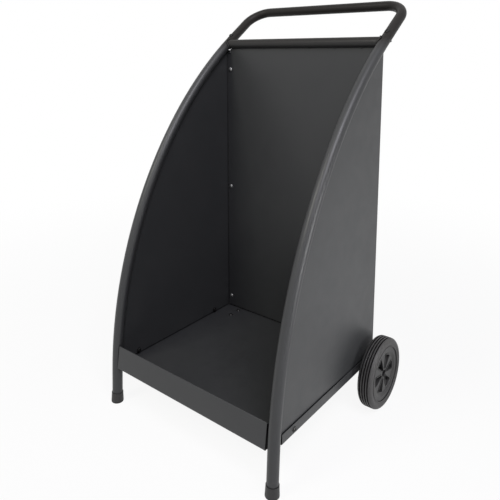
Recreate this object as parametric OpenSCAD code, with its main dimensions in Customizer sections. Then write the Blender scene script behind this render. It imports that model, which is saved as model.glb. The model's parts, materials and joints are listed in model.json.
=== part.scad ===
// Fireside log cart: two curved side tubes with sheet side panels, a back panel, a floor tray,
// a plugged-in U handle and two free-running wheels on a fixed axle.
// Millimetres, X to the right, front towards -Y, Z up, origin under the middle of the cart.

/* [Side tubes] */
// Outer diameter of the frame and handle tubes
tube_d = 22; // [18:0.5:28]
// Wall thickness of the tubes
tube_wall = 1.5; // [1:0.1:2.5]
// Distance between the two side tubes, centre to centre
frame_w = 420; // [360:5:520]
// Lean of the straight leg from the vertical
leg_lean = 2.5; // [1:0.5:5]
// Length of the straight leg, from the ground to the start of the curve
leg_len = 75; // [60:1:80]
// Radius of the long curve, on the centre line of the tube
arc_r = 920; // [880:5:960]
// Angle through which the long curve turns
arc_sweep = 52; // [51:0.5:54]
// Straight end of the side tube above the curve, up to the handle seam
tail_len = 22; // [20:1:30]
// How far the sized straight ends of the tubes stand proud of the bends, all round
end_sizing = 0.05; // [0.03:0.01:0.1]

/* [Handle] */
// Straight reach of the handle, from the end of the curve to the start of its bend
handle_reach = 78; // [65:1:100]
// Radius of the two handle bends, on the centre line
handle_bend_r = 49; // [35:1:60]
// Length of the spigot that plugs into the side tube
spigot_len = 20; // [16:1:20]
// Play between spigot and side tube, all round
spigot_play = 0.1; // [0.05:0.05:0.3]
// Distance of the handle bolt from the end of the curve
handle_bolt_at = 10; // [8:0.5:12]

/* [Crossbar and back panel] */
// Distance of the crossbar below the end of the curve, along the side tube
crossbar_back = 13.3; // [12:0.1:30]
// Thickness of the side and back sheets
sheet_t = 1; // [0.8:0.1:1.5]
// Offset of a side panel's inner face outwards from the middle of the tube
panel_offset = -0.2; // [-1:0.1:1]
// How far the back panel's middle sits in front of the crossbar's centre
back_setback = 1.5; // [1:0.5:4]
// Leg of the notch at the back panel's upper corners
corner_notch = 12; // [10:1:20]
// Depth of the rear flanges of the side panels
rear_flange = 22; // [18:1:30]
// Height of the lowest back panel screw above the tray's rear flange
back_screw_rise = 9.5; // [8:0.5:30]
// Distance of the highest back panel screw below the crossbar's centre
back_screw_drop = 62; // [45:1:90]
// Number of screws on each side of the back panel
back_screw_rows = 3; // [2:1:5]

/* [Floor tray] */
// Thickness of the tray sheet
tray_t = 1.2; // [1:0.1:2]
// Height of the tray's side and rear flanges
tray_flange = 20; // [18:1:30]
// Shadow gap between the side panels and the tray's side flanges
flange_gap = 1; // [0.2:0.1:2]
// Height of the apron that closes the front
apron_h = 49; // [40:1:90]
// Backward lean of the apron
apron_lean = 8; // [0:1:12]
// How far the apron's foot stands in front of the middle of the legs
apron_front = 5.5; // [3:0.5:8]
// Gap between the apron's ends and the side tubes
apron_gap = 1.5; // [1:0.5:4]
// Depth of the apron's end returns
apron_return = 14; // [10:1:18]
// Depth of the folded edge along the top of the apron
hem = 8; // [5:1:12]
// Inner radius of the sheet bends
bend_r = 1.5; // [1:0.25:3]
// Gap between the legs and the front ends of the tray's side flanges
flange_start = 10; // [8:0.5:14]
// Distance of the front tray screw behind the legs
tray_screw_front = 62; // [50:1:90]
// Distance of the rear tray screw in front of the tray's rear edge
tray_screw_inset = 63; // [60:1:90]

/* [Wheels] */
// Diameter of the tyre
wheel_d = 150; // [140:1:156]
// Width of the tyre
wheel_w = 32; // [28:1:40]
// Distance from the side tube's centre line to the tyre's inner face
wheel_offset = 15.5; // [14:0.5:24]
// Distance of the axle in front of the tray's rear edge
axle_inset = 32; // [30:1:45]
// Diameter of the axle rod
axle_d = 8; // [7:0.5:10]
// Play of the wheel bore on the axle, all round
bore_play = 0.08; // [0.05:0.01:0.1]
// Diameter of the rim under the tyre
rim_d = 114; // [106:1:120]
// Number of spokes
spokes = 6; // [4:1:6]
// Number of grooves round the tread
grooves = 4; // [2:1:4]
// Distance between neighbouring tread grooves
groove_pitch = 5.6; // [5:0.1:6.5]
// Width of one tread groove
groove_w = 2.7; // [1.5:0.1:3]
// Depth of the tread grooves
groove_depth = 3; // [1:0.1:3.5]
// Radius of the tyre's shoulders
tyre_shoulder = 8; // [5:0.5:10]
// How far the tyre's sides lie inside its full width
side_set = 1.2; // [0.5:0.1:2]
// Radius of the half-round ridge on the tyre's sides, beside the rim
ridge_r = 1.1; // [0.8:0.1:1.5]
// Thickness of the rim ring under the tyre
rim_wall = 8; // [6:0.5:10]
// Distance of the web's front behind the tyre's outer face
web_set = 5.5; // [4:0.5:8]
// Thickness of the web between hub and rim
web_t = 9; // [5:0.5:12]
// Width of the slope that rises from the web to the rim
dish_run = 6; // [4:0.5:8]
// Web left between a spoke opening and the hub
slot_hub_gap = 0.8; // [0.5:0.1:2]
// Web left between a spoke opening and the slope
slot_rim_gap = 3.5; // [3:0.5:6]
// Radius of a spoke opening's three corners
slot_r = 3; // [2:0.25:3.5]
// Width of a spoke opening at its outer end
slot_w = 19; // [14:0.5:20]
// Width of the raised lip round a spoke opening
lip_w = 1.5; // [1:0.1:2]
// Height of that lip above the web
lip_h = 1; // [0.5:0.1:1.5]
// Turn of the first spoke opening from the rear, as seen from outside
spoke_turn = 5; // [0:1:60]
// Diameter of the hub behind the web
hub_d = 20; // [19:0.5:22]
// Length of the hub along the axle, up to the outer washer
hub_len = 16; // [14:0.5:22]
// Gap between the outer washer and the recess in the hub
recess_gap = 0.6; // [0.4:0.1:1]
// Axial play on each side of the hub
hub_play = 0.5; // [0.3:0.1:1]

/* [Axle brackets] */
// Thickness of the bracket sheet
bracket_t = 2; // [1.5:0.1:3]
// Distance of the bracket's upright from the side tube's centre line
bracket_inset = 20; // [18:1:40]
// Width of a bracket along the cart
bracket_w = 50; // [46:1:60]
// Reach of the bracket's top plate under the tray
bracket_reach = 40; // [34:1:60]
// Metal left round the axle hole of a bracket
bracket_eye = 7; // [5:0.5:9]
// Gap between the axle and the bracket's top plate
axle_gap = 1.4; // [0.3:0.1:4]
// Thickness of the axle washers
washer_t = 1.5; // [1:0.1:2]
// Width of the axle washers beyond the rod, all round
washer_rim = 3; // [2:0.25:4]
// Length of a push-on axle cap
push_cap_len = 4; // [3:0.5:6]
// Length of the axle rod inside a push-on cap
rod_in_cap = 2.5; // [1.5:0.1:2.5]
// Outer diameter of the spacer sleeves on the axle
sleeve_d = 12; // [11.5:0.5:14]

/* [Foot caps] */
// Height of a foot cap
cap_h = 22; // [16:1:30]
// Wall of the cap round the tube at its rim
cap_wall = 1.2; // [1:0.1:2]
// How much wider the cap is at its foot
cap_flare = 0.9; // [0.2:0.1:3]
// Radius of the cap's rounded lower edge
cap_edge = 2; // [1:0.5:3]
// Height of the straight rim at the cap's top
cap_rim = 1.5; // [1:0.5:4]
// Thickness of the cap's sole under the tube
cap_sole = 4; // [3:0.5:6]

/* [Fasteners] */
// Diameter of the small screws and of the handle bolts
screw_d = 5; // [4:0.5:6]
// Play of the screw holes, all round
hole_play = 0.25; // [0.15:0.05:0.5]
// Clearance between parts that are screwed or welded together
seat = 0.1; // [0.05:0.05:0.2]

/* [Hidden] */
$fn = 64;
big_fn = 256;

// Colours
coat = "#3a3c3f";
plastic = "#4b4c4a";
rubber = "#414241";
cap_grey = "#2f3031";
zinc = "#b9bcbf";

// Side tube, in the Y-Z plane: y behind the foot, z above the ground
tube_r = tube_d / 2;
half_w = frame_w / 2;
leg_top = leg_len * [sin(leg_lean), cos(leg_lean)];
arc_mid = leg_top + arc_r * [cos(leg_lean), -sin(leg_lean)];
tail_lean = leg_lean + arc_sweep;
function on_arc(lean, r = arc_r) = arc_mid + r * [-cos(lean), sin(lean)];
tail_start = on_arc(tail_lean);
end_d = tube_d + 2 * end_sizing;
end_bore = tube_d - 2 * tube_wall - 2 * end_sizing;
end_lap = 1;

// Crossbar, on the curve a little below its end
crossbar_lean = tail_lean - crossbar_back / arc_r * 180 / PI;
crossbar_y = on_arc(crossbar_lean)[0];
crossbar_h = on_arc(crossbar_lean)[1];

// The tray rests on the bracket plates, which lie just above the axle
wheel_r = wheel_d / 2;
tray_h = wheel_r + axle_d / 2 + axle_gap + bracket_t + seat;

// Side panels, outwards from the middle of the tube
panel_in = half_w + panel_offset;
panel_out = panel_in + sheet_t;
back_mid = crossbar_y - back_setback;
back_rear = back_mid + sheet_t / 2;
flange_front = back_rear + seat;
flange_rear = flange_front + sheet_t;
panel_bottom = tray_h + tray_t + bend_r + 0.5;
flange_top = crossbar_h - tube_r - corner_notch - 2;
back_screw_x = panel_in - rear_flange / 2 + sheet_t;

// Tray
tray_half = panel_out + flange_gap + tray_t;
apron_half = half_w - tube_r - apron_gap;
tray_rear = flange_rear + 2 * seat + tray_t;
bend_out = bend_r + tray_t;
tray_shoulder = on_arc(leg_lean)[0] + tube_r + flange_start;
tray_screw_h = tray_h + (tray_flange + tray_t) / 2 - bend_r;
tray_screw_rows = [tray_screw_front, tray_rear - tray_screw_inset];

// Wheels and axle
wheel_in = half_w + wheel_offset;
axle_back = tray_rear - axle_inset;
bracket_x = half_w - bracket_inset;
washer_d = axle_d + 2 * washer_rim;
outer_stack = wheel_in + hub_len + hub_play;
axle_half = outer_stack + washer_t + seat + rod_in_cap;
rim_r = rim_d / 2;
rim_in = rim_r - rim_wall;
dish_r = rim_in - dish_run;
web_front = wheel_w - web_set;
slot_in = hub_d / 2 + slot_hub_gap + slot_r;
slot_out = dish_r - slot_rim_gap - slot_r;

// Fasteners
head_d = 2 * screw_d;
head_h = 0.6 * screw_d;
nut_af = 1.6 * screw_d;
nut_h = 0.8 * screw_d;

// Whole cart: the frame's origin lies under the middle of its box
cap_foot_r = tube_r + cap_wall + cap_flare;
bar_at = handle_reach + handle_bend_r;
cap_dip = 1;
y_min = (cap_edge - cap_foot_r) * cos(leg_lean) + cap_edge * (sin(leg_lean) - 1);
y_max = tail_start[0] + bar_at * sin(tail_lean) + tube_r;
mid_y = (y_min + y_max) / 2;

// ---- shared shapes ----

// Moves the foot line's frame to the cart's own origin
module placed() {
    translate([0, -mid_y, 0]) children();
}

// The child and its mirror image on the other side
module both_sides() {
    children();
    mirror([1, 0, 0]) children();
}

// Straight tube from the origin up its own axis
module tube(len, d = tube_d, wall = tube_wall) {
    linear_extrude(len) difference() {
        circle(d = d);
        circle(d = d - 2 * wall);
    }
}

// Tube bent round the Z axis, drawn in a little against the straight tube
module bent_tube(r, sweep, fn, draw = 0) {
    rotate_extrude(angle = sweep, $fn = fn) translate([r, 0]) difference() {
        circle(r = tube_r - draw, $fn = 64);
        circle(r = tube_r - tube_wall + draw, $fn = 64);
    }
}

// Children drawn in the side plane's polar frame: its x points forward and its y up
module side_polar(x, at) {
    translate([x, at[0], at[1]]) rotate([90, 0, -90]) children();
}

// Children drawn along a line that leans back from the vertical
module leaning(x, at, lean) {
    translate([x, at[0], at[1]]) rotate([-lean, 0, 0]) children();
}

// Pan-head screw along +Z, its head below the origin and its shank above
module pan_screw(len) {
    difference() {
        union() {
            cylinder(d = screw_d, h = len);
            intersection() {
                translate([0, 0, head_d * 0.35]) sphere(d = head_d * 1.3);
                translate([0, 0, -head_h]) cylinder(d = head_d, h = head_h);
            }
        }
        for (turn = [0, 90]) rotate(turn) translate([-head_d * 0.28, -0.5, -head_h - 1])
            cube([head_d * 0.56, 1, 2.2]);
    }
}

// Hexagon nut above the origin, bevelled at the top
module nut() {
    difference() {
        intersection() {
            cylinder(d = nut_af / cos(30), h = nut_h, $fn = 6);
            cylinder(r1 = nut_af * 0.58 + nut_h, r2 = nut_af * 0.52, h = nut_h);
        }
        translate([0, 0, -1]) cylinder(d = screw_d + 2 * seat, h = nut_h + 2);
    }
}

// ---- side tubes and handle ----

module side_tube(x) {
    color(coat) side_polar(x, arc_mid) rotate(leg_lean) difference() {
        union() {
            bent_tube(arc_r, arc_sweep, big_fn);
            translate([arc_r, 0, 0]) rotate([90, 0, 0]) tube(leg_len - cap_sole);
            rotate(arc_sweep) translate([arc_r, tail_len, 0]) rotate([90, 0, 0])
                tube(tail_len + end_lap, end_d, (end_d - end_bore) / 2);
        }
        rotate(arc_sweep) translate([arc_r, handle_bolt_at, 0]) rotate([0, 90, 0])
            handle_bolt_hole();
    }
}

module handle_bolt_hole() {
    cylinder(d = screw_d + 2 * hole_play, h = 2 * tube_d, center = true);
}

// One leg of the handle with its spigot, in the tail's frame
module handle_leg() {
    seam = tail_len + seat;
    spigot_d = end_bore - 2 * spigot_play;
    difference() {
        union() {
            translate([0, 0, seam]) cylinder(d = tube_d, h = handle_reach - seam + end_lap);
            translate([0, 0, seam - spigot_len]) cylinder(d = spigot_d, h = spigot_len + end_lap);
        }
        translate([0, 0, seam - spigot_len - 1])
            cylinder(d = spigot_d - 2 * tube_wall, h = spigot_len + 2 * tube_d);
        translate([0, 0, seam + 2 * tube_wall])
            cylinder(d = tube_d - 2 * tube_wall, h = handle_reach);
        translate([0, 0, handle_bolt_at]) rotate([90, 0, 0]) handle_bolt_hole();
    }
}

module handle_tube() {
    color(coat) leaning(0, tail_start, tail_lean) {
        both_sides() {
            translate([half_w, 0, 0]) handle_leg();
            translate([half_w - handle_bend_r, 0, handle_reach]) rotate([90, 0, 0])
                bent_tube(handle_bend_r, 90, big_fn, end_sizing);
        }
        translate([-half_w + handle_bend_r - end_lap, 0, bar_at]) rotate([0, 90, 0])
            tube(frame_w - 2 * handle_bend_r + 2 * end_lap);
    }
}

// Through bolts of the handle joint, heads in front and nuts behind
module handle_bolts() {
    color(zinc) both_sides() leaning(half_w, tail_start, tail_lean)
        translate([0, -tube_r - seat, handle_bolt_at]) rotate([-90, 0, 0])
            pan_screw(tube_d + 2 * seat + nut_h + 1);
}

module handle_nuts() {
    color(zinc) both_sides() leaning(half_w, tail_start, tail_lean)
        translate([0, tube_r + seat, handle_bolt_at]) rotate([-90, 0, 0]) nut();
}

// Half section of a foot cap: rounded foot, slightly flared wall and a bore for the tube
module cap_section() {
    rim_r_out = tube_r + cap_wall;
    foot_flat_r = cap_foot_r - cap_edge;
    floor_h = cap_sole - seat;
    translate([0, -cap_dip]) square([foot_flat_r, cap_dip + floor_h]);
    intersection() {
        translate([foot_flat_r, cap_edge]) circle(r = cap_edge);
        square([2 * cap_foot_r, cap_edge + 0.5]);
    }
    polygon([
        [0, cap_edge], [cap_foot_r, cap_edge], [rim_r_out, cap_h - cap_rim],
        [rim_r_out, cap_h], [tube_r + seat, cap_h], [tube_r + seat, floor_h], [0, floor_h]
    ]);
}

// Slip-over foot cap, cut level with the ground
module foot_cap(x) {
    color(cap_grey) difference() {
        leaning(x, [0, 0], leg_lean) rotate_extrude() cap_section();
        translate([x - tube_d, -tube_d, -tube_d]) cube([2 * tube_d, 2 * tube_d, tube_d]);
    }
}

// ---- sheet panels ----

// Right side panel: a sheet that follows the tube's curve, with its rear flange turned inwards
module side_panel() {
    bend_mid = [panel_in - bend_r, flange_front - bend_r];
    color(coat) intersection() {
        difference() {
            translate([0, 0, panel_bottom]) linear_extrude(crossbar_h - panel_bottom) {
                translate([panel_in, 0]) square([sheet_t, bend_mid[1]]);
                translate([panel_out - rear_flange, flange_front])
                    square([rear_flange - bend_r - sheet_t, sheet_t]);
                translate(bend_mid) intersection() {
                    difference() {
                        circle(r = bend_r + sheet_t);
                        circle(r = bend_r);
                    }
                    square(2 * bend_r + 2 * sheet_t);
                }
            }
            translate([half_w - 2 * rear_flange, bend_mid[1], flange_top])
                cube([2 * rear_flange - bend_r, 10, arc_r]);
            for (z = back_screw_heights())
                translate([back_screw_x, flange_front - 5, z]) rotate([-90, 0, 0]) screw_hole();
            for (y = tray_screw_rows)
                translate([panel_in - 5, y, tray_screw_h]) rotate([0, 90, 0]) screw_hole();
        }
        side_polar(half_w + tube_d, arc_mid)
            cylinder(r = arc_r - tube_r - seat, h = 4 * tube_d, $fn = big_fn);
    }
}

function back_screw_heights() =
    let(low = tray_h + tray_flange + back_screw_rise, high = crossbar_h - back_screw_drop)
        [for (i = [0 : back_screw_rows - 1]) low + i * (high - low) / (back_screw_rows - 1)];

module screw_hole() {
    cylinder(d = screw_d + 2 * hole_play, h = 10);
}

// Flat back panel under the crossbar, its upper corners notched round the side tubes
module back_panel() {
    half = panel_in - bend_r - seat;
    top = crossbar_h - tube_r - seat;
    color(coat) translate([0, back_rear, 0]) rotate([90, 0, 0]) linear_extrude(sheet_t)
        difference() {
            polygon([
                [-half, panel_bottom], [half, panel_bottom],
                [half, top - corner_notch], [half - corner_notch, top],
                [corner_notch - half, top], [-half, top - corner_notch]
            ]);
            for (x = [-1, 1], z = back_screw_heights())
                translate([x * back_screw_x, z]) circle(d = screw_d + 2 * hole_play);
        }
}

// Crossbar, its ends cut to fit against the side tubes
module top_crossbar() {
    color(coat) difference() {
        translate([-half_w, crossbar_y, crossbar_h]) rotate([0, 90, 0]) tube(frame_w);
        for (x = [-half_w, half_w])
            leaning(x, [crossbar_y, crossbar_h], crossbar_lean)
                cylinder(r = tube_r + seat, h = 6 * tube_d, center = true);
    }
}

module back_panel_screws() {
    color(zinc) both_sides() for (z = back_screw_heights())
        translate([back_screw_x, back_rear - sheet_t - seat / 2, z]) rotate([-90, 0, 0])
            pan_screw(2 * sheet_t + nut_h + 2);
}

module back_panel_nuts() {
    color(zinc) both_sides() for (z = back_screw_heights())
        translate([back_screw_x, flange_rear + seat, z]) rotate([-90, 0, 0]) nut();
}

// ---- floor tray ----

// Outline of a channel's inside or outside: square above, rounded at the two lower corners
module channel_outline(half, h, r) {
    translate([-half, r]) square([2 * half, h - r]);
    translate([r - half, 0]) square([2 * half - 2 * r, r]);
    for (x = [r - half, half - r]) translate([x, r]) circle(r = r);
}

// Sheet that turns up from the floor at the origin and leans back, drawn with the floor at +x
module upturn(len, lean) {
    translate([bend_out, bend_out]) {
        intersection() {
            difference() {
                circle(r = bend_out);
                circle(r = bend_r);
            }
            polygon([[0, 0], 2 * bend_out * [-cos(lean), sin(lean)],
                -3 * bend_out * [1, 1], [0, -3 * bend_out]]);
        }
        rotate(-lean) translate([-bend_out, 0]) square([tray_t, len]);
    }
}

// The apron and the strip of floor between the side tubes, in section
module apron_section() {
    rise = (apron_h - tray_t - bend_out) / cos(apron_lean);
    upturn(rise, apron_lean);
    translate([bend_out, 0]) square([tray_shoulder + apron_front, tray_t]);
    translate([bend_out, bend_out]) rotate(-apron_lean) {
        translate([tray_t - bend_out, rise - hem]) square([tray_t, hem]);
        translate([tray_t - bend_out, rise]) circle(r = tray_t);
    }
}

// End return of the apron, seen from the side
module apron_return_outline() {
    lean_back = tan(apron_lean);
    top = apron_h - 2 * tray_t;
    polygon([
        [bend_out, bend_r], [apron_return + apron_front, bend_r],
        [apron_return + apron_front, 0.6 * top],
        [top * lean_back + tray_t + 4, top], [top * lean_back + tray_t, top]
    ]);
}

module floor_tray() {
    color(coat) difference() {
        union() {
            translate([0, tray_rear - bend_out, tray_h]) rotate([90, 0, 0])
                linear_extrude(tray_rear - bend_out - tray_shoulder) difference() {
                    channel_outline(tray_half, tray_flange, bend_out);
                    translate([0, tray_t]) channel_outline(tray_half - tray_t, tray_flange, bend_r);
                }
            translate([-apron_half, -apron_front, tray_h]) rotate([90, 0, 90])
                linear_extrude(2 * apron_half) apron_section();
            translate([bend_out - tray_half, tray_rear, tray_h]) rotate([90, 0, 90])
                linear_extrude(2 * tray_half - 2 * bend_out) mirror([1, 0])
                    upturn(tray_flange - bend_out, 0);
            for (x = [-apron_half, apron_half - tray_t])
                translate([x, -apron_front, tray_h]) rotate([90, 0, 90])
                    linear_extrude(tray_t) apron_return_outline();
        }
        both_sides() {
            for (y = tray_screw_rows)
                translate([panel_out - 4, y, tray_screw_h]) rotate([0, 90, 0]) screw_hole();
            for (y = bracket_screw_rows())
                translate([bracket_screw_x(), y, tray_h - 5]) screw_hole();
        }
    }
}

module tray_screws() {
    color(zinc) both_sides() for (y = tray_screw_rows)
        translate([tray_half + seat, y, tray_screw_h]) rotate([0, -90, 0])
            pan_screw(tray_t + flange_gap + sheet_t + nut_h + 2);
}

module tray_nuts() {
    color(zinc) both_sides() for (y = tray_screw_rows)
        translate([panel_in - seat, y, tray_screw_h]) rotate([0, -90, 0]) nut();
}

// ---- axle and brackets ----

function bracket_screw_x() = bracket_x - bracket_reach * 0.6;
function bracket_screw_rows() = [for (s = [-1, 1]) axle_back + s * bracket_w * 0.3];

// Right axle bracket: a plate under the tray and an upright with the axle hole
module axle_bracket() {
    top = tray_h - seat - wheel_r;
    eye_r = axle_d / 2 + bracket_eye;
    color(coat) difference() {
        union() {
            translate([bracket_x - bracket_reach, axle_back - bracket_w / 2, tray_h - seat - bracket_t])
                cube([bracket_reach, bracket_w, bracket_t]);
            translate([bracket_x - bracket_t, axle_back, wheel_r]) rotate([90, 0, 90])
                linear_extrude(bracket_t) {
                    polygon([
                        [-bracket_w / 2, top], [bracket_w / 2, top],
                        [bracket_w / 2, top - bracket_t], [eye_r, 0],
                        [-eye_r, 0], [-bracket_w / 2, top - bracket_t]
                    ]);
                    intersection() {
                        circle(r = eye_r);
                        translate([-eye_r, -eye_r]) square([2 * eye_r, eye_r + top / 2]);
                    }
                }
        }
        translate([bracket_x - 3 * bracket_t, axle_back, wheel_r]) rotate([0, 90, 0])
            cylinder(r = axle_d / 2 + seat, h = 6 * bracket_t);
        for (y = bracket_screw_rows()) translate([bracket_screw_x(), y, tray_h - 5]) screw_hole();
    }
}

module bracket_screws() {
    color(zinc) both_sides() for (y = bracket_screw_rows())
        translate([bracket_screw_x(), y, tray_h + tray_t + seat]) rotate([180, 0, 0])
            pan_screw(tray_t + bracket_t + nut_h + 2);
}

module bracket_nuts() {
    color(zinc) both_sides() for (y = bracket_screw_rows())
        translate([bracket_screw_x(), y, tray_h - bracket_t - 2 * seat]) rotate([180, 0, 0]) nut();
}

// Children drawn along the axle from a distance outwards
module on_axle(x) {
    translate([x, axle_back, wheel_r]) rotate([0, 90, 0]) children();
}

module ring(len, outer, inner) {
    linear_extrude(len) difference() {
        circle(d = outer);
        circle(d = inner);
    }
}

module axle_rod() {
    chamfer = 0.8;
    color(zinc) on_axle(-axle_half) {
        cylinder(d1 = axle_d - 2 * chamfer, d2 = axle_d, h = chamfer);
        translate([0, 0, chamfer]) cylinder(d = axle_d, h = 2 * axle_half - 2 * chamfer);
        translate([0, 0, 2 * axle_half - chamfer])
            cylinder(d1 = axle_d, d2 = axle_d - 2 * chamfer, h = chamfer);
    }
}

module axle_spacer_sleeves() {
    start = bracket_x + seat;
    color(zinc) both_sides() on_axle(start)
        ring(wheel_in - hub_play - washer_t - seat - start, sleeve_d, axle_d + 2 * seat);
}

module axle_inner_washers() {
    color(zinc) both_sides() on_axle(wheel_in - hub_play - washer_t)
        ring(washer_t, washer_d, axle_d + 2 * seat);
}

module axle_outer_washers() {
    color(zinc) both_sides() on_axle(outer_stack) ring(washer_t, washer_d, axle_d + 2 * seat);
}

// Domed push-on caps that close the axle's ends
module axle_push_caps() {
    flange_r = axle_d / 2 + washer_rim - seat;
    cap_r = flange_r - 1;
    color(zinc) both_sides() on_axle(outer_stack + washer_t + seat) difference() {
        union() {
            cylinder(r = flange_r, h = 1);
            cylinder(r = cap_r, h = push_cap_len - 1);
            translate([0, 0, push_cap_len - 1]) cylinder(r1 = cap_r, r2 = cap_r - 1, h = 1);
        }
        translate([0, 0, -1]) cylinder(r = axle_d / 2 + seat, h = 1 + rod_in_cap + seat);
    }
}

// ---- wheels, drawn from the inner face at z = 0 outwards ----

// Right wheel's place; the left wheel is its mirror image
module wheel_place() {
    on_axle(wheel_in) rotate(90) children();
}

// Half section of the tyre: a grooved tread with round shoulders, sides with a ridge, and a seat
module tyre_section() {
    shoulder = tyre_shoulder;
    difference() {
        intersection() {
            union() {
                translate([rim_r, side_set])
                    square([wheel_r - shoulder - rim_r, wheel_w - 2 * side_set]);
                translate([wheel_r - shoulder, shoulder])
                    square([shoulder, wheel_w - 2 * shoulder]);
                for (z = [shoulder, wheel_w - shoulder])
                    translate([wheel_r - shoulder, z]) circle(r = shoulder);
                for (z = [side_set, wheel_w - side_set])
                    translate([rim_r + 1.3 * ridge_r, z]) circle(r = ridge_r);
            }
            translate([rim_r, 0]) square([wheel_r, wheel_w]);
        }
        for (i = [0 : grooves - 1])
            translate([wheel_r - groove_depth, groove_z(i) - groove_w / 2])
                square([2 * groove_depth, groove_w]);
    }
}

function groove_z(i) =
    wheel_w / 2 + (i - (grooves - 1) / 2) * groove_pitch;

module wheel_tyre() {
    color(rubber) wheel_place() rotate_extrude() tyre_section();
}

// Half section of the rim: tyre seat, slope, flat web and a hub with a recess in front
module rim_section() {
    hub_r = hub_d / 2;
    rim_set = 2 * side_set;
    translate([rim_in, rim_set]) square([rim_wall - seat, wheel_w - 2 * rim_set]);
    polygon([
        [hub_r - 1, web_front - web_t], [rim_in + 1, web_front - web_t],
        [rim_in + 1, wheel_w - rim_set], [rim_in, wheel_w - rim_set],
        [dish_r, web_front], [hub_r - 1, web_front]
    ]);
    translate([axle_d / 2 + bore_play, 0]) square([hub_r - axle_d / 2 - bore_play, hub_len]);
    translate([washer_d / 2 + recess_gap, hub_len - 1])
        square([hub_r - washer_d / 2 - recess_gap, web_front - hub_len + 1]);
}

// Wedge-shaped opening between two spokes, narrow at the hub; its sides run into the corner rounds
module spoke_slot(grow = 0) {
    run = slot_out - slot_in;
    half = slot_w / 2 - slot_r;
    corner = slot_r + grow;
    reach = corner - 0.03;
    side = reach * [-half, run] / norm([run, half]);
    translate([slot_in, 0]) circle(r = corner);
    for (s = [-1, 1]) translate([slot_out, s * half]) circle(r = corner);
    polygon([
        [slot_in + side[0], side[1]], [slot_out + side[0], half + side[1]],
        [slot_out + reach, half], [slot_out + reach, -half],
        [slot_out + side[0], -half - side[1]], [slot_in + side[0], -side[1]]
    ]);
}

// Stiffening rib behind a spoke, from the hub to the rim, let into the back of the web
module spoke_rib() {
    rib_t = 3;
    foot = hub_d / 2 - 1;
    toe = rim_in + 1;
    top = web_front - web_t + 1;
    rotate([90, 0, 0]) translate([0, 0, -rib_t / 2]) linear_extrude(rib_t)
        polygon([[foot, 4], [toe, 8], [toe, top], [foot, top]]);
}

module wheel_rim() {
    color(plastic) wheel_place() {
        difference() {
            union() {
                rotate_extrude() rim_section();
                for (i = [0 : spokes - 1]) rotate(spoke_turn + i * 360 / spokes)
                    translate([0, 0, web_front - 1]) linear_extrude(1 + lip_h) spoke_slot(lip_w);
            }
            for (i = [0 : spokes - 1]) rotate(spoke_turn + i * 360 / spokes)
                linear_extrude(wheel_w) spoke_slot();
        }
        for (i = [0 : spokes - 1]) rotate(spoke_turn + (i + 0.5) * 360 / spokes) spoke_rib();
    }
}

// ---- the cart ----

placed() side_tube(-half_w);  // left_side_tube
placed() side_tube(half_w);  // right_side_tube
placed() foot_cap(-half_w);  // left_foot_cap
placed() foot_cap(half_w);  // right_foot_cap
placed() mirror([1, 0, 0]) side_panel();  // left_side_panel
placed() side_panel();  // right_side_panel
placed() back_panel();
placed() top_crossbar();
placed() floor_tray();
placed() handle_tube();
placed() handle_bolts();
placed() handle_nuts();
placed() back_panel_screws();
placed() back_panel_nuts();
placed() tray_screws();
placed() tray_nuts();
placed() mirror([1, 0, 0]) axle_bracket();  // left_axle_bracket
placed() axle_bracket();  // right_axle_bracket
placed() bracket_screws();
placed() bracket_nuts();
placed() axle_rod();
placed() axle_spacer_sleeves();
placed() axle_inner_washers();
placed() axle_outer_washers();
placed() axle_push_caps();
placed() mirror([1, 0, 0]) wheel_rim();  // left_wheel_rim
placed() mirror([1, 0, 0]) wheel_tyre();  // left_wheel_tyre
placed() wheel_rim();  // right_wheel_rim
placed() wheel_tyre();  // right_wheel_tyre
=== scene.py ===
"""Looks of the fireside log cart: powder coat, rubber, plastic and plated fasteners, with the
weld beads and painted-over seams that the CAD part leaves out. Metres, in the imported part's own
frame."""

import json
import math

import bmesh
import bpy
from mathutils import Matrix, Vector


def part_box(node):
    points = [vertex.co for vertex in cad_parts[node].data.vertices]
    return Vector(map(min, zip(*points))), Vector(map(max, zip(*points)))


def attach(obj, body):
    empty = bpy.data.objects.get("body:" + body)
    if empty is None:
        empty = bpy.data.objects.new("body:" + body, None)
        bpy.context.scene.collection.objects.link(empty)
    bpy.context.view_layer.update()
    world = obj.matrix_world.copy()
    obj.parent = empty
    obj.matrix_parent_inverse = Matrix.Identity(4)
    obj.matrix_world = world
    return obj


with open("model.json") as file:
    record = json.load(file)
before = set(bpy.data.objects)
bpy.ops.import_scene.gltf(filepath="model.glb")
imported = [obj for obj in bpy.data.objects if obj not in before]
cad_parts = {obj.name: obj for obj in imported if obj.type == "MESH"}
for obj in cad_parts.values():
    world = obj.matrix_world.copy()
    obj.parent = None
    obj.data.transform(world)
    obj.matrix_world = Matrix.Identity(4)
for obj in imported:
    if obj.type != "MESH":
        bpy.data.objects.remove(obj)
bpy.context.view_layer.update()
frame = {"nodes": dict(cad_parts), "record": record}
nodes = frame["nodes"]

# ---- the photograph's camera, recovered from the cart's straight edges ----
PICTURE = 500
CAMERA_PLACE = (0.69649, -0.91796, 0.75153)
CAMERA_YAW = 38.483
CAMERA_PITCH = -8.919
FOCAL_PIXELS = 543.78
HORIZON_PIXEL = 139.435
SENSOR = 36.0


def make_camera():
    data = bpy.data.cameras.new("camera")
    data.sensor_width = SENSOR
    data.lens = FOCAL_PIXELS * SENSOR / PICTURE
    data.shift_y = -(PICTURE / 2 - HORIZON_PIXEL) / PICTURE
    camera = bpy.data.objects.new("camera", data)
    camera.location = CAMERA_PLACE
    camera.rotation_euler = (math.radians(90 + CAMERA_PITCH), 0, math.radians(CAMERA_YAW))
    bpy.context.scene.collection.objects.link(camera)
    bpy.context.scene.camera = camera


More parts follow.
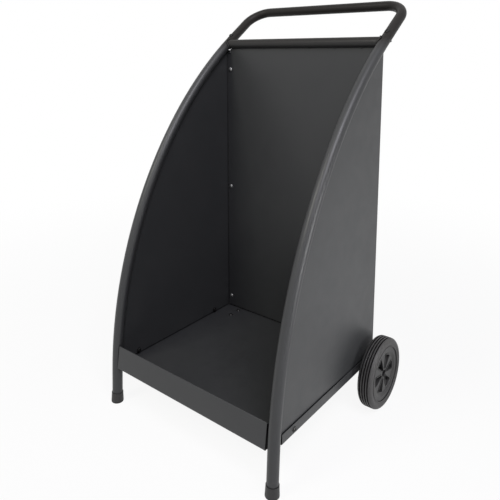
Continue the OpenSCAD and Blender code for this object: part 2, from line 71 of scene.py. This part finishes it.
# ---- node materials ----
class Shader:
    """A Principled material whose colour, roughness and relief come from noise in object space."""

    def __init__(self, name):
        self.mat = bpy.data.materials.new(name)
        self.mat.use_nodes = True
        self.tree = self.mat.node_tree
        self.body = self.tree.nodes["Principled BSDF"]
        self.place = self.add("ShaderNodeTexCoord").outputs["Object"]

    def add(self, kind, **values):
        node = self.tree.nodes.new(kind)
        for key, value in values.items():
            setattr(node, key, value)
        return node

    def link(self, a, b):
        self.tree.links.new(a, b)

    def noise(self, scale, detail, rough=0.5):
        node = self.add("ShaderNodeTexNoise")
        node.inputs["Scale"].default_value = scale
        node.inputs["Detail"].default_value = detail
        node.inputs["Roughness"].default_value = rough
        self.link(self.place, node.inputs["Vector"])
        return node.outputs["Fac"]

    def axis(self, name):
        node = self.add("ShaderNodeSeparateXYZ")
        self.link(self.place, node.inputs[0])
        return node.outputs[name]

    def ramp(self, fac, stops):
        node = self.add("ShaderNodeValToRGB")
        ramp = node.color_ramp
        while len(ramp.elements) < len(stops):
            ramp.elements.new(0.5)
        for element, (at, colour) in zip(ramp.elements, stops):
            element.position = at
            element.color = (*colour, 1)
        self.link(fac, node.inputs["Fac"])
        return node.outputs["Color"]

    def spread(self, fac, low, high, start=0.3, end=0.7):
        node = self.add("ShaderNodeMapRange")
        for key, value in (
            ("From Min", start), ("From Max", end), ("To Min", low), ("To Max", high)
        ):
            node.inputs[key].default_value = value
        self.link(fac, node.inputs["Value"])
        return node.outputs["Result"]

    def mix(self, fac, a, b, blend="MIX"):
        node = self.add("ShaderNodeMix", data_type="RGBA", blend_type=blend)
        for source, key in ((fac, 0), (a, 6), (b, 7)):
            if hasattr(source, "is_linked"):
                self.link(source, node.inputs[key])
            else:
                node.inputs[key].default_value = source
        return node.outputs[2]

    def soft_edge(self, radius):
        """A normal that rounds crisp edges, as paint and moulding do, so they catch light."""
        node = self.add("ShaderNodeBevel", samples=6)
        node.inputs["Radius"].default_value = radius
        return node.outputs["Normal"]

    def hollows(self, distance, floor):
        """Painted shade: 1 on open faces, falling to floor in grooves and seams that light doesn't
        reach.
        """
        node = self.add("ShaderNodeAmbientOcclusion", samples=8)
        node.inputs["Distance"].default_value = distance
        shut, open_sky = 0.35, 0.9
        return self.spread(node.outputs["AO"], floor, 1.0, shut, open_sky)

    def relief(self, height, distance, strength, under):
        """The normal under it, with bumps of this height added."""
        node = self.add("ShaderNodeBump")
        node.inputs["Strength"].default_value = strength
        node.inputs["Distance"].default_value = distance
        self.link(height, node.inputs["Height"])
        self.link(under, node.inputs["Normal"])
        return node.outputs["Normal"]

    def finish(self, colour, roughness, normal, metal=0.0, specular=0.5, hollow_shade=None):
        body = self.body
        # painted shade in hollows: colour and shine multiplied by it
        if hollow_shade:
            colour = self.mix(1.0, colour, hollow_shade, "MULTIPLY")
            shine = self.add("ShaderNodeMath", operation="MULTIPLY")
            self.link(hollow_shade, shine.inputs[0])
            if hasattr(specular, "is_linked"):
                self.link(specular, shine.inputs[1])
            else:
                shine.inputs[1].default_value = specular
            self.link(shine.outputs[0], body.inputs["Specular IOR Level"])
        else:
            body.inputs["Specular IOR Level"].default_value = specular
        self.link(colour, body.inputs["Base Color"])
        self.link(roughness, body.inputs["Roughness"])
        self.link(normal, body.inputs["Normal"])
        body.inputs["Metallic"].default_value = metal
        return self.mat


# heights between which the coat turns to a painted shade, darker and less shiny, on the crossbar
# and handle
SHADED_HEIGHTS = (0.758, 0.786)
# depths just in front of the back panel's screws, behind which black zinc is lightened as a painted
# glint
GLINT_BEHIND = [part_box("back_panel_screws")[0][1] - step for step in (0.003, 0.001)]


def grey(level, warm=0.0):
    return (level * (1 + warm), level, level * (1 - warm))


def powder_coat():
    """Matte anthracite powder coat: fine grain, faint cloudiness and a soft orange peel."""
    s = Shader("powder_coat")
    cloud = s.noise(9.0, 4.0)
    grain = s.noise(2600.0, 2.0)
    base = s.ramp(cloud, [(0.3, grey(0.033, -0.04)), (0.7, grey(0.037, -0.03))])
    fleck = s.ramp(grain, [(0.35, grey(0.85)), (0.65, grey(1.0))])
    colour = s.mix(0.5, base, fleck, "MULTIPLY")
    # painted shade: the coat darkened and its shine lowered at crossbar and handle height
    top_shade = s.spread(s.axis("Z"), 0.0, 1.0, *SHADED_HEIGHTS)
    colour = s.mix(top_shade, colour, (*grey(0.018, 0.08), 1))
    shine = s.spread(top_shade, 0.39, 0.12, 0.0, 1.0)
    peel = s.relief(s.noise(420.0, 2.0), 0.0003, 0.25, s.soft_edge(0.0007))
    normal = s.relief(grain, 0.00012, 0.3, peel)
    return s.finish(colour, s.spread(s.noise(35.0, 4.0), 0.38, 0.45), normal,
                    specular=shine, hollow_shade=s.hollows(0.005, 0.15))


def moulded_plastic(name, level, rough):
    s = Shader(name)
    base = s.ramp(s.noise(60.0, 4.0), [(0.3, grey(level * 0.92)), (0.7, grey(level * 1.06, 0.01))])
    dust = s.noise(14.0, 5.0, 0.6)
    colour = s.mix(s.spread(dust, 0.0, 0.12, 0.5, 0.75), base, (*grey(0.10, 0.05), 1))
    normal = s.relief(s.noise(1500.0, 2.0), 0.0001, 0.3, s.soft_edge(0.0008))
    return s.finish(colour, s.spread(dust, rough - 0.04, rough + 0.08), normal, specular=0.4,
                    hollow_shade=s.hollows(0.008, 0.15))


def tyre_rubber():
    s = Shader("tyre_rubber")
    dust = s.noise(22.0, 6.0, 0.65)
    base = s.ramp(s.noise(120.0, 3.0), [(0.3, grey(0.032, 0.01)), (0.7, grey(0.040, 0.02))])
    colour = s.mix(s.spread(dust, 0.0, 0.2, 0.45, 0.8), base, (*grey(0.12, 0.08), 1))
    normal = s.relief(s.noise(900.0, 3.0), 0.00025, 0.35, s.soft_edge(0.0008))
    return s.finish(colour, s.spread(dust, 0.5, 0.66), normal, specular=0.5,
                    hollow_shade=s.hollows(0.005, 0.06))


def plated_steel(name, dark, light, rough, glint=None):
    s = Shader(name)
    patch = s.noise(260.0, 4.0)
    colour = s.ramp(patch, [(0.3, dark), (0.7, light)])
    if glint:
        # painted glint: black zinc lightened behind these depths, on the back panel's screws
        colour = s.mix(s.spread(s.axis("Y"), 0.0, 1.0, *GLINT_BEHIND), colour, (*glint, 1))
        # painted shade: black zinc darkened at crossbar and handle height, as on the handle bolt
        colour = s.mix(s.spread(s.axis("Z"), 0.0, 1.0, *SHADED_HEIGHTS), colour, (*grey(0.016), 1))
    normal = s.relief(s.noise(1800.0, 2.0), 0.00006, 0.3, s.soft_edge(0.0003))
    return s.finish(colour, s.spread(patch, rough - 0.06, rough + 0.08), normal, metal=0.9)


MATERIALS = {
    "powder_coat": powder_coat(),
    "foot_plastic": moulded_plastic("foot_plastic", 0.022, 0.5),
    "wheel_plastic": moulded_plastic("wheel_plastic", 0.026, 0.44),
    "tyre_rubber": tyre_rubber(),
    "black_zinc": plated_steel("black_zinc", grey(0.030), grey(0.050, 0.02), 0.38, grey(0.32)),
    "zinc": plated_steel("zinc", grey(0.42), grey(0.52, -0.01), 0.36),
}

for sub in frame["record"]["subparts"]:
    for part in nodes[sub["node"]].material_slots:
        part.material = MATERIALS[sub["material_slot"]]


# ---- welds and painted-over seams, which sit on the CAD tubes and sheets ----
FOOT_Y = frame["record"]["mounts"][0]["pos_m"][1]
LEG_LEAN = math.radians(2.5)
LEG_LENGTH = 0.075
ARC_RADIUS = 0.920
ARC_MIDDLE = (
    FOOT_Y + LEG_LENGTH * math.sin(LEG_LEAN) + ARC_RADIUS * math.cos(LEG_LEAN),
    LEG_LENGTH * math.cos(LEG_LEAN) - ARC_RADIUS * math.sin(LEG_LEAN),
)


def centre(node):
    low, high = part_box(node)
    return [(a + b) / 2 for a, b in zip(low, high)]


TUBE_X = centre("right_side_tube")[0]
BAR_Y, BAR_Z = centre("top_crossbar")[1:]
BAR_LOW, BAR_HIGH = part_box("top_crossbar")
TUBE_R = (BAR_HIGH[2] - BAR_LOW[2]) / 2
PANEL_LOW, PANEL_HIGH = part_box("right_side_panel")
PANEL_OUT = PANEL_HIGH[0]
BACK_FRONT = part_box("back_panel")[0][1]
BACK_HALF, _, BACK_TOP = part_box("back_panel")[1]
NOTCH = 0.012
SEAM_BEHIND = 0.0006
SIDES = (("left", -1), ("right", 1))


def on_arc(lean, radius=ARC_RADIUS):
    """A point of the side tubes' long curve, as (y, z), where the tube leans back by lean."""
    return (ARC_MIDDLE[0] - radius * math.cos(lean), ARC_MIDDLE[1] + radius * math.sin(lean))


def lean_at(z):
    return math.asin((z - ARC_MIDDLE[1]) / ARC_RADIUS)


def bead(name, path, radius, ripple=0.0, pitch=0.0022, sides=10, taper=3):
    """A weld bead: a closed tube along the path, with ripples and tapered ends."""
    mesh = bmesh.new()
    rings = []
    travelled = 0.0
    for i, point in enumerate(path):
        ahead = path[min(i + 1, len(path) - 1)] - path[max(i - 1, 0)]
        across = ahead.orthogonal().normalized()
        if rings:
            across = (side - side.project(ahead)).normalized()
            travelled += (point - path[i - 1]).length
        side = across
        other = ahead.normalized().cross(side)
        end = min(i, len(path) - 1 - i)
        size = radius * (1 + ripple * abs(math.sin(math.pi * travelled / pitch)))
        if end < taper:
            size *= math.sqrt((end + 0.4) / (taper + 0.4))
        turns = [2 * math.pi * k / sides for k in range(sides)]
        rings.append([
            mesh.verts.new(point + size * (math.cos(t) * side + math.sin(t) * other)) for t in turns
        ])
    for low, high in zip(rings, rings[1:]):
        for k in range(sides):
            mesh.faces.new((low[k], low[k - 1], high[k - 1], high[k]))
    mesh.faces.new(rings[0])
    mesh.faces.new(reversed(rings[-1]))
    bmesh.ops.recalc_face_normals(mesh, faces=mesh.faces)
    data = bpy.data.meshes.new(name)
    mesh.to_mesh(data)
    mesh.free()
    for face in data.polygons:
        face.use_smooth = True
    piece = bpy.data.objects.new(name, data)
    bpy.context.scene.collection.objects.link(piece)
    data.materials.append(MATERIALS["powder_coat"])
    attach(piece, "cart_frame")
    return piece


def crossbar_welds():
    """A rippled bead round the saddle where each end of the crossbar meets its side tube."""
    lean = lean_at(BAR_Z)
    bead_r = 0.0016
    from_tube, from_bar = TUBE_R + bead_r * 0.5, TUBE_R + bead_r * 0.3
    steps = 150
    for name, side in SIDES:
        path = []
        for i in range(steps + 1):
            turn = 2 * math.pi * i / steps
            reach = TUBE_R * math.cos(turn + lean)
            gap = math.sqrt(max(from_tube ** 2 - reach ** 2, 0))
            path.append(Vector((
                side * (TUBE_X - gap),
                BAR_Y + from_bar * math.cos(turn),
                BAR_Z + from_bar * math.sin(turn),
            )))
        bead(name + "_crossbar_weld", path, bead_r, 0.22, taper=1)


def crossbar_tacks():
    """Short tack welds between the crossbar and the top edge of the back panel."""
    count = 6
    spacing = 0.064
    half = 0.004
    bead_r = 0.0019
    steps = 6
    for i in range(count):
        x = (i - (count - 1) / 2) * spacing
        path = [
            Vector((x + half * s / steps, BACK_FRONT, BACK_TOP)) for s in range(-steps, steps + 1)
        ]
        bead(f"crossbar_tack_{i + 1}", path, bead_r, 0.15, taper=4)


def panel_fillets():
    """The painted-over joint between each side tube and the outer face of its panel."""
    bead_r = 0.0013
    above_foot, below_top = 0.022, 0.004
    steps = 120
    start, end = lean_at(PANEL_LOW[2] + above_foot), lean_at(PANEL_HIGH[2] - below_top)
    radius = ARC_RADIUS - TUBE_R - bead_r * 0.2
    for name, side in SIDES:
        path = []
        for i in range(steps + 1):
            y, z = on_arc(start + (end - start) * i / steps, radius)
            path.append(Vector((side * (PANEL_OUT + bead_r * 0.45), y, z)))
        bead(name + "_panel_fillet", path, bead_r, 0.05, pitch=0.011, sides=8)


def crossbar_seam():
    """The paint-filled seam that closes the gap between crossbar and back panel."""
    bead_r = 0.0009
    end = BACK_HALF - NOTCH
    steps = 20
    path = [
        Vector((end * s / steps, BACK_FRONT + SEAM_BEHIND, BACK_TOP))
        for s in range(-steps, steps + 1)
    ]
    bead("crossbar_seam", path, bead_r, sides=8)


def corner_welds():
    """Two short runs of weld that fill the notch over each side panel's rear flange."""
    bead_r = 0.0024
    first_rise, run_rise = 0.0026, 0.0036
    inner, outer = BACK_HALF - NOTCH, PANEL_OUT - 0.0016
    steps = 12
    for name, side in SIDES:
        for run in range(2):
            z = BACK_TOP - NOTCH + first_rise + run * run_rise
            path = [
                Vector((side * (inner + (outer - inner) * s / steps), BACK_FRONT + SEAM_BEHIND, z))
                for s in range(steps + 1)
            ]
            bead(f"{name}_corner_weld_{run + 1}", path, bead_r, 0.12, taper=2)


crossbar_welds()
crossbar_tacks()
crossbar_seam()
corner_welds()
panel_fillets()


# ---- studio ----
def light_path(tree):
    """1 for camera, glossy and transmission rays, else 0."""
    path = tree.nodes.new("ShaderNodeLightPath")
    total = path.outputs["Is Camera Ray"]
    for name in ("Is Glossy Ray", "Is Transmission Ray"):
        most = tree.nodes.new("ShaderNodeMath")
        most.operation = "MAXIMUM"
        tree.links.new(total, most.inputs[0])
        tree.links.new(path.outputs[name], most.inputs[1])
        total = most.outputs[0]
    return total


def make_world():
    """White where it is seen or mirrored, and a weak fill on the cart itself."""
    white_strength, fill_strength = 1.0, 0.05
    world = bpy.data.worlds.new("studio")
    world.use_nodes = True
    tree = world.node_tree
    tree.nodes.clear()
    shown = tree.nodes.new("ShaderNodeBackground")
    shown.inputs["Strength"].default_value = white_strength
    shown.inputs["Color"].default_value = (1, 1, 1, 1)
    fill = tree.nodes.new("ShaderNodeBackground")
    fill.inputs["Strength"].default_value = fill_strength
    fill.inputs["Color"].default_value = (0.92, 0.94, 1, 1)
    mix = tree.nodes.new("ShaderNodeMixShader")
    out = tree.nodes.new("ShaderNodeOutputWorld")
    tree.links.new(light_path(tree), mix.inputs[0])
    tree.links.new(fill.outputs[0], mix.inputs[1])
    tree.links.new(shown.outputs[0], mix.inputs[2])
    tree.links.new(mix.outputs[0], out.inputs[0])
    bpy.context.scene.world = world


def make_floor():
    """A pale floor that keeps the cart's shadow and turns to plain white further out."""
    half = 30.0
    fade_from, fade_to = 0.35, 2.0
    glow_near, glow_far = 0.91, 1.0
    mesh = bpy.data.meshes.new("floor")
    corners = [(-half, -half, 0), (half, -half, 0), (half, half, 0), (-half, half, 0)]
    mesh.from_pydata(corners, [], [(0, 1, 2, 3)])
    floor = bpy.data.objects.new("floor", mesh)
    bpy.context.scene.collection.objects.link(floor)
    mat = bpy.data.materials.new("floor")
    mat.use_nodes = True
    tree = mat.node_tree
    body = tree.nodes["Principled BSDF"]
    body.inputs["Base Color"].default_value = (0.86, 0.86, 0.86, 1)
    body.inputs["Roughness"].default_value = 0.9
    body.inputs["Specular IOR Level"].default_value = 0.1
    glow = tree.nodes.new("ShaderNodeEmission")
    glow.inputs["Strength"].default_value = 1.0
    place = tree.nodes.new("ShaderNodeTexCoord")
    reach = tree.nodes.new("ShaderNodeVectorMath")
    reach.operation = "LENGTH"
    tree.links.new(place.outputs["Object"], reach.inputs[0])
    fade = tree.nodes.new("ShaderNodeMapRange")
    fade.interpolation_type = "SMOOTHSTEP"
    for key, value in (
        ("From Min", fade_from), ("From Max", fade_to), ("To Min", glow_near), ("To Max", glow_far)
    ):
        fade.inputs[key].default_value = value
    tree.links.new(reach.outputs["Value"], fade.inputs["Value"])
    share = tree.nodes.new("ShaderNodeMath")
    share.operation = "MULTIPLY"
    tree.links.new(light_path(tree), share.inputs[0])
    tree.links.new(fade.outputs["Result"], share.inputs[1])
    mix = tree.nodes.new("ShaderNodeMixShader")
    tree.links.new(share.outputs[0], mix.inputs[0])
    tree.links.new(body.outputs[0], mix.inputs[1])
    tree.links.new(glow.outputs[0], mix.inputs[2])
    tree.links.new(mix.outputs[0], tree.nodes["Material Output"].inputs[0])
    mesh.materials.append(mat)


def area_light(name, place, target, size, power, tint=(1, 1, 1), spread=180):
    data = bpy.data.lights.new(name, "AREA")
    data.shape = "SQUARE"
    data.size = size
    data.energy = power
    data.color = tint
    data.spread = math.radians(spread)
    lamp = bpy.data.objects.new(name, data)
    lamp.location = place
    lamp.rotation_euler = (Vector(target) - Vector(place)).to_track_quat("-Z", "Y").to_euler()
    bpy.context.scene.collection.objects.link(lamp)


COOL = (0.94, 0.92, 1.0)
WARM = (1.0, 0.99, 0.90)

make_camera()
make_world()
make_floor()
area_light("key", (2.1, -1.45, 3.7), (0.2, -0.05, 0.6), 2.0, 135.0, COOL)
area_light("side", (1.1, 0.0, 0.42), (0.22, -0.08, 0.3), 0.4, 0.6, spread=50)
area_light("front", (-0.6, -2.2, 2.4), (0, 0.2, 0.5), 0.8, 35.0, WARM)

view = bpy.context.scene.view_settings
view.view_transform = "Standard"
